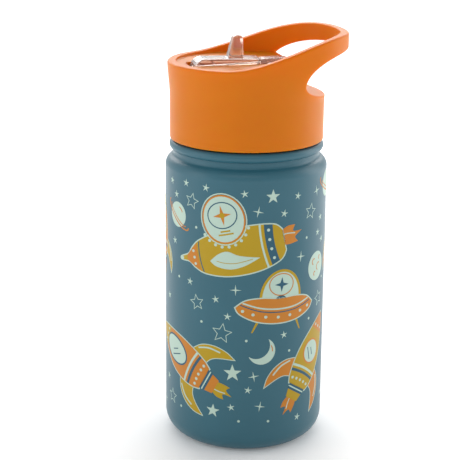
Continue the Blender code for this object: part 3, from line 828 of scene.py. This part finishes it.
def saucer(at, body="orange", trim="mustard"):
    """A flying saucer with an empty glass dome."""
    for side in (-1, 1):
        foot = [(side * 8.2, -5.0), (side * 9.6, -5.0), (side * 12.2, -11.4), (side * 11.5, -11.4)]
        area(trim, 0, at(foot))
    dome = oval((1.2, 4.2), 9.8, 12.8, -8, 188, 30)
    stroke(trim, 1, at(dome), 1.2)
    area("mint", 0, at(dome))
    stroke(body, 2, at(oval((1.0, 10.6), 5.9, 5.0)), 0.45, closed=True)
    area("navy", 2, at([(u + 1.0, v + 10.6) for u, v in star(4, 3.4, 1.1)]))
    area("navy", 2, at(oval((1.0, 3.6), 2.6, 2.0, 0, 180, 16)))
    disc = curve([(19.6, 0.0), (15.2, 3.3), (8.0, 4.5), (0.0, 4.1), (-8.0, 4.5), (-15.2, 3.3),
                  (-19.6, 0.0)])
    disc += curve([(-19.6, 0.0), (-17.5, -2.9), (-10.0, -6.0), (0.0, -7.1), (10.0, -6.0),
                   (17.5, -2.9), (19.6, 0.0)])[1:-1]
    stroke("mint", 2, at(disc), 1.1, closed=True)
    area(body, 3, at(disc))
    stroke("mint", 4, at(curve([(-16.5, 2.3), (-8.5, 0.1), (0.0, -0.6), (8.5, 0.0), (16.5, 2.2)])), 0.7)
    stroke("navy", 4, at(curve([(-17.6, 1.4), (-9.0, -1.3), (0.0, -2.1), (9.0, -1.4), (17.6, 1.0)])), 0.5)
    for u in (-16.4, -11.7, -5.9, 0.0, 5.9, 11.7, 16.4):
        area("mint", 4, at(oval((u, -4.4 + 3.2 * (u / 17) ** 2), 0.75, 0.7, steps=12)))


def finned_rocket(at, body, trim, window=18.0, stretch=1.0):
    """A slim rocket with two swept fins; it points along +u from its tail at u = 0."""
    outline, half = hull([(0.0, 5.8), (4.0, 7.6), (11.0, 8.8), (19.0, 8.6), (27.0, 6.4),
                          (33.5, 3.2), (37.5, 0.0)])
    nozzle = [(0.5, 5.4), (-6.4, 3.6), (-6.4, -3.6), (0.5, -5.4)]
    flame(at, -6.0, -2.8, 2.8, 9.0, trim, 0)
    area(body, 1, at(nozzle))
    area("navy", 2, at([(0.2, 5.4), (-2.6, 4.7), (-2.6, -4.7), (0.2, -5.4)]))
    stroke("mint", 3, at([(-1.2, 5.1), (-1.2, -5.1)]), 0.6)
    for side in (-1, 1):
        fin = curve([(12.5, 7.6), (9.0, 13.6), (3.6, 16.9), (-2.6, 17.6), (-8.0, 16.2)])
        fin += curve([(-8.0, 16.2), (-2.0, 13.4), (1.5, 10.6), (3.0, 6.6)])[1:]
        fin = [(u, side * v) for u, v in fin]
        area(trim, 0, at(fin))
        stroke("mint", 1, at(fin[:-1]), 0.35)
        glint = curve([(9.4, 11.4), (5.0, 14.6), (-0.5, 15.8)])
        stroke("mint", 2, at([(u, side * v) for u, v in glint]), 0.7)
    stroke("mint", 1, at(outline), 1.0, closed=True)
    area(body, 2, at(outline))
    area(trim, 3, at(curve([(28.5, half(28.5)), (33.5, 3.2), (37.4, 0.0), (33.5, -3.2),
                            (28.5, -half(28.5))])))
    for v in (-0.64, 0.0, 0.64):
        area("mint", 4, at(oval((30.4, v * half(30.4)), 0.65, 0.65, steps=12)))
    area("mint", 3, at(hull_band(half, 8.0, 9.1)))
    area("navy", 3, at(hull_band(half, 5.6, 6.9)))
    for v in (-0.75, -0.38, 0.0, 0.38, 0.75):
        area("mint", 3, at(oval((2.6 + 0.8 * (1 - v * v), v * half(2.6)), 0.7, 0.7, steps=12)))
    porthole(at, (window, 0.0), 5.4, stretch, "navy" if stretch > 1 else trim, 3)


def crescent(at, size):
    """A moon that is thick towards +u, with its two tips behind."""
    outer = oval((0.0, 0.0), size, size, -109, 109, 24)
    inner = oval((-0.55 * size, 0.0), 0.972 * size, 0.972 * size, 76.7, -76.7, 20)
    area("mint", 0, at(outer + inner[1:-1]))
    stroke("orange", 1, at(oval((-0.02 * size, 0.0), size * 0.8, size * 0.8, 42, 76, 8)), 0.45)


def ringed_planet(at, radius):
    """A planet with two flat rings and a glint."""
    area("mint", 0, at(oval((0.0, 0.0), radius, radius)))
    stroke("orange", 1, at(oval((0.0, 0.0), radius * 0.62, radius * 0.66, 62, 112, 8)), 0.5)
    stroke("orange", 1, at(oval((0.0, 0.0), radius * 1.6, radius * 0.5, 165, 375, 30)), 0.6)
    stroke("orange", 1, at(oval((0.0, 0.0), radius * 1.25, radius * 0.26, 172, 368, 24)), 0.45)


def cratered_planet(at, radius):
    """A full moon with four open craters."""
    area("mint", 0, at(oval((0.0, 0.0), radius, radius)))
    for u, v, r in ((-0.35, 0.35, 0.2), (0.3, -0.1, 0.26), (-0.2, -0.5, 0.14), (0.45, 0.5, 0.12)):
        stroke("orange", 1, at(oval((u * radius, v * radius), r * radius, r * radius, 60, 250, 12)), 0.5)


def sky(s, z, kind, size, panel):
    """One small star or dot on the wall."""
    at = stamp(s + panel, z, turn=12.0 * math.sin(s * 1.7 + z))
    if kind == "solid":
        area("mint", 0, at(star(5, size, 0.4 * size)))
    elif kind == "outline":
        stroke("mint", 0, at(star(5, size, 0.46 * size)), 0.3, closed=True)
    elif kind == "sparkle":
        area("mint", 0, at(star(4, size, 0.17 * size)))
    elif kind == "small":
        area("mint", 0, at(star(5, size, 0.3 * size)))
    else:
        area("mint", 0, at(oval((0.0, 0.0), size, size, steps=12)))


# Places of one panel's stars and dots by kind and size. 45 of these 52 are a helper script's output,
# from places read off the photo, rounded to 0.5 mm; the last four small ones and the last three dots
# were chosen by hand.
STARS = {
    ("solid", 3.3): [(12, 121), (-14, 21)],
    ("solid", 4.2): [(-5, 40)],
    ("outline", 3.6): [(-25.5, 117), (33, 111.5), (-22.5, 71), (-40, 21), (42, 69)],
    ("outline", 4.6): [(-10, 58.5)],
    ("sparkle", 2.6): [(5.5, 114.5), (37.5, 120), (27, 92), (-4, 79), (4.5, 38.5), (7.5, 24)],
    ("small", 1.9): [(-40, 123.5), (-29, 124.5), (-18, 124), (-36, 118), (-0.5, 122.5), (24.5, 120),
                    (17.5, 113), (42, 107), (-37.5, 96.5), (-26.5, 80), (-43.5, 69), (-13, 74),
                    (-7.5, 66.5), (18.5, 57), (2, 32), (-5.5, 23.5), (-44.5, 29.5), (27, 15.5),
                    (39.5, 100.5), (44, 96.5), (52, 88), (55, 34), (50, 20), (-50, 16)],
    ("dot", 0.6): [(-23, 105.5), (30.5, 100), (-34, 80.5), (-20, 62.5), (1, 55.5), (21.5, 49),
                   (33.5, 61.5), (-32.5, 18.5), (-2, 17), (11.5, 16.5), (52, 104), (46, 78), (57, 96)],
}


def print_panel(panel, swap):
    """Half of the wrap-round print; the other half swaps the ships' colours."""
    first, second = ("orange", "mustard") if swap else ("mustard", "orange")
    bubble_ship(stamp(-1.0 + panel, 97.0, 193.0, flip=-1), first, second)
    saucer(stamp(15.6 + panel, 70.2, -2.0), second, first)
    finned_rocket(stamp(-18.5 + panel, 35.5, 152.0), second, first, window=20.5, stretch=1.5)
    finned_rocket(stamp(26.5 + panel, 30.5, 57.0, 0.97), first, second)
    finned_rocket(stamp(-53.5 + panel, 86.0, 90.0, 0.75), second, first)
    crescent(stamp(8.0 + panel, 50.4, -48.0), 6.3)
    ringed_planet(stamp(-35.0 + panel, 109.0, -38.0), 5.7)
    cratered_planet(stamp(39.0 + panel, 85.0), 6.7)
    ringed_planet(stamp(50.5 + panel, 121.0, -20.0), 6.3)
    for (kind, size), places in STARS.items():
        for s, z in places:
            sky(s, z, kind, size, panel)


def wrap_ink(name, bm, material):
    """Bends the flat ink round the wall as thin closed plates."""
    bmesh.ops.triangulate(bm, faces=bm.faces, ngon_method="EAR_CLIP")
    facet = 2 * HALF_GIRTH / PRINT_FACETS
    middle = math.radians(PRINT_MIDDLE)
    first = (middle / (2 * math.pi) * PRINT_FACETS) % 1.0
    low, high = min(v.co.x for v in bm.verts), max(v.co.x for v in bm.verts)
    for corner in range(math.floor(low / facet), math.ceil(high / facet) + 1):
        cut = (corner - first) * facet
        bmesh.ops.bisect_plane(bm, geom=bm.verts[:] + bm.edges[:] + bm.faces[:], dist=0.0005,
                               plane_co=(cut, 0, 0), plane_no=(1, 0, 0))
    lifted = bmesh.ops.extrude_face_region(bm, geom=bm.faces[:], use_keep_orig=True)["geom"]
    tops = {v for v in lifted if isinstance(v, bmesh.types.BMVert)}
    flat_r = BODY_R * math.cos(math.pi / PRINT_FACETS)
    for vert in bm.verts:
        s, layer, z = vert.co
        angle = middle + s / BODY_R
        spot = (angle / (2 * math.pi) * PRINT_FACETS) % 1.0 - 0.5
        chord = flat_r / math.cos(spot * 2 * math.pi / PRINT_FACETS)
        r = chord + (PRINT_LAYER * (layer + 1) if vert in tops else -INK_DEPTH)
        vert.co = (r * math.cos(angle) * MM, r * math.sin(angle) * MM, z * MM)
    bmesh.ops.recalc_face_normals(bm, faces=bm.faces)
    mesh = bpy.data.meshes.new(name)
    bm.to_mesh(mesh)
    bm.free()
    place_piece(name, mesh, material, "bottle")


def make_print():
    print_panel(0.0, False)
    print_panel(HALF_GIRTH, True)
    for ink, bm in INKS.items():
        wrap_ink("print_" + ink, bm, finish("ink_" + ink, srgb(*INK_COLOURS[ink]), 0.42, grain=0.3,
                                            depth=0.006, mottle=0.04, Specular_IOR_Level=0.3))


# ------------------------------------------------------------------ studio

def make_camera():
    azimuth, elevation = math.radians(VIEW_AZIMUTH), math.radians(VIEW_ELEVATION)
    forward = Vector((-math.sin(azimuth) * math.cos(elevation), math.cos(azimuth) * math.cos(elevation),
                      -math.sin(elevation)))
    camera = bpy.data.objects.new("camera", bpy.data.cameras.new("camera"))
    camera.data.lens = LENS_MM
    camera.location = (Vector(VIEW_AIM) - forward * VIEW_DISTANCE) * MM
    camera.rotation_mode = "QUATERNION"
    roll = Quaternion((0.0, 0.0, 1.0), math.radians(VIEW_ROLL))
    camera.rotation_quaternion = forward.to_track_quat("-Z", "Y") @ roll
    bpy.context.scene.collection.objects.link(camera)
    bpy.context.scene.camera = camera


def soft_light(name, place, aim, size, power):
    """A rectangular lamp that the camera doesn't see."""
    lamp = bpy.data.lights.new(name, "AREA")
    lamp.shape = "RECTANGLE"
    lamp.size, lamp.size_y = size
    lamp.energy = power
    light = bpy.data.objects.new(name, lamp)
    light.location = place
    light.rotation_euler = (Vector(aim) - Vector(place)).to_track_quat("-Z", "Y").to_euler()
    light.visible_camera = False
    bpy.context.scene.collection.objects.link(light)


def painted_glow_floor():
    """White paper with a painted glow: it gives off light of its own, less near the middle, where the
    object stands, so it is darker there.
    """
    paper = finish("floor_with_painted_glow", (0.9, 0.9, 0.9), 0.7, mottle=0.0, depth=0.0,
                   Emission_Color=(1.0, 1.0, 1.0, 1.0))
    nodes, links = paper.node_tree.nodes, paper.node_tree.links
    place = nodes.new("ShaderNodeTexCoord")
    distance = nodes.new("ShaderNodeVectorMath")
    distance.operation = "LENGTH"
    # Painted glow: the emission strength rises from 0.1 at the middle to 0.6 half a metre out.
    glow = nodes.new("ShaderNodeMapRange")
    glow.inputs["From Min"].default_value = 0.05
    glow.inputs["From Max"].default_value = 0.5
    glow.inputs["To Min"].default_value = 0.1
    glow.inputs["To Max"].default_value = 0.6
    links.new(place.outputs["Object"], distance.inputs[0])
    links.new(distance.outputs["Value"], glow.inputs["Value"])
    links.new(glow.outputs["Result"], nodes["Principled BSDF"].inputs["Emission Strength"])
    return paper


def make_studio():
    """A white surround, brighter behind the object than before it and dimmer overhead, and the lamps."""
    world = bpy.data.worlds.new("studio")
    bpy.context.scene.world = world
    world.use_nodes = True
    nodes, links = world.node_tree.nodes, world.node_tree.links
    place = nodes.new("ShaderNodeTexCoord")
    towards = nodes.new("ShaderNodeVectorMath")
    towards.operation = "DOT_PRODUCT"
    azimuth = math.radians(VIEW_AZIMUTH)
    towards.inputs[1].default_value = (-math.sin(azimuth), math.cos(azimuth), 0.0)
    links.new(place.outputs["Generated"], towards.inputs[0])
    apart = nodes.new("ShaderNodeSeparateXYZ")
    links.new(place.outputs["Generated"], apart.inputs["Vector"])
    strength = nodes.new("ShaderNodeMath")
    strength.operation = "MULTIPLY"
    fades = ((towards.outputs["Value"], (-0.9, 0.05), (0.74, 1.15)),
             (apart.outputs["Z"], (0.3, 0.9), (1.0, 0.35)))
    for i, (source, where, values) in enumerate(fades):
        fade = nodes.new("ShaderNodeMapRange")
        fade.inputs["From Min"].default_value, fade.inputs["From Max"].default_value = where
        fade.inputs["To Min"].default_value, fade.inputs["To Max"].default_value = values
        links.new(source, fade.inputs["Value"])
        links.new(fade.outputs["Result"], strength.inputs[i])
    links.new(strength.outputs["Value"], nodes["Background"].inputs["Strength"])
    nodes["Background"].inputs["Color"].default_value = (1.0, 1.0, 1.0, 1.0)
    for name, (spot, aim, size, power) in SOFT_LIGHTS.items():
        soft_light(name, spot, aim, size, power)
    bpy.context.scene.view_settings.view_transform = "Standard"


def make_floor():
    floor = bpy.data.meshes.new("floor")
    corners = [(x * FLOOR_REACH, y * FLOOR_REACH, 0) for x, y in ((-1, -1), (1, -1), (1, 1), (-1, 1))]
    floor.from_pydata(corners, [], [(0, 1, 2, 3)])
    floor.materials.append(painted_glow_floor())
    ground = bpy.data.objects.new("floor", floor)
    bpy.context.scene.collection.objects.link(ground)


def refinish(node, material):
    """Gives a CAD piece that stays as it is a finer material."""
    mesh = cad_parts[node].data
    mesh.materials.clear()
    coat(mesh, material)


def main():
    make_camera()
    make_studio()
    make_floor()
    paint = finish("teal_powder_coat", srgb(41, 91, 106), 0.38, grain=0.25, depth=0.012,
                   Specular_IOR_Level=0.4)
    steel = brushed("turned_steel", (0.62, 0.61, 0.59), 0.26)
    rubber = finish("grey_rubber", srgb(92, 97, 99), 0.6, grain=0.3, depth=0.02)
    orange = finish("orange_moulding", srgb(201, 110, 0), 0.42, grain=0.35, depth=0.008, mottle=0.03,
                    Specular_IOR_Level=0.16, Subsurface_Weight=0.6, Subsurface_Scale=0.008,
                    Subsurface_Radius=(1.0, 0.3, 0.03))
    silicone = finish("white_rubber", srgb(225, 222, 214), 0.5, grain=0.3, depth=0.01)
    clear = finish("clear_moulding", srgb(246, 228, 218), 0.14, grain=3.0, depth=0.004, mottle=0.01,
                   spread=0.03, Transmission_Weight=0.9, IOR=1.5, Specular_IOR_Level=0.3)
    soft = finish("soft_clear_rubber", srgb(240, 206, 190), 0.2, grain=0.5, depth=0.006,
                  mottle=0.02, spread=0.04, Transmission_Weight=0.75, IOR=1.42)
    milky = finish("milky_straw", srgb(236, 238, 238), 0.3, grain=0.8, depth=0.004,
                   Transmission_Weight=0.7, IOR=1.48)
    foil = finish("copper_foil_sheet", (0.60, 0.30, 0.19), 0.28, grain=1.6, depth=0.05, Metallic=1.0)
    getter = finish("sintered_getter", (0.30, 0.29, 0.28), 0.6, grain=0.25, depth=0.03, Metallic=1.0)
    make_outer_wall(paint, steel)
    make_flask(steel)
    make_foot(steel, rubber)
    make_print()
    make_lid(orange, silicone)
    make_spout(clear, soft, milky)
    for node, material in (("vacuum_plug", getter), ("getter", getter), ("foil_wrap", foil),
                           ("spout_seal", silicone), ("straw_socket", silicone)):
        refinish(node, material)


main()
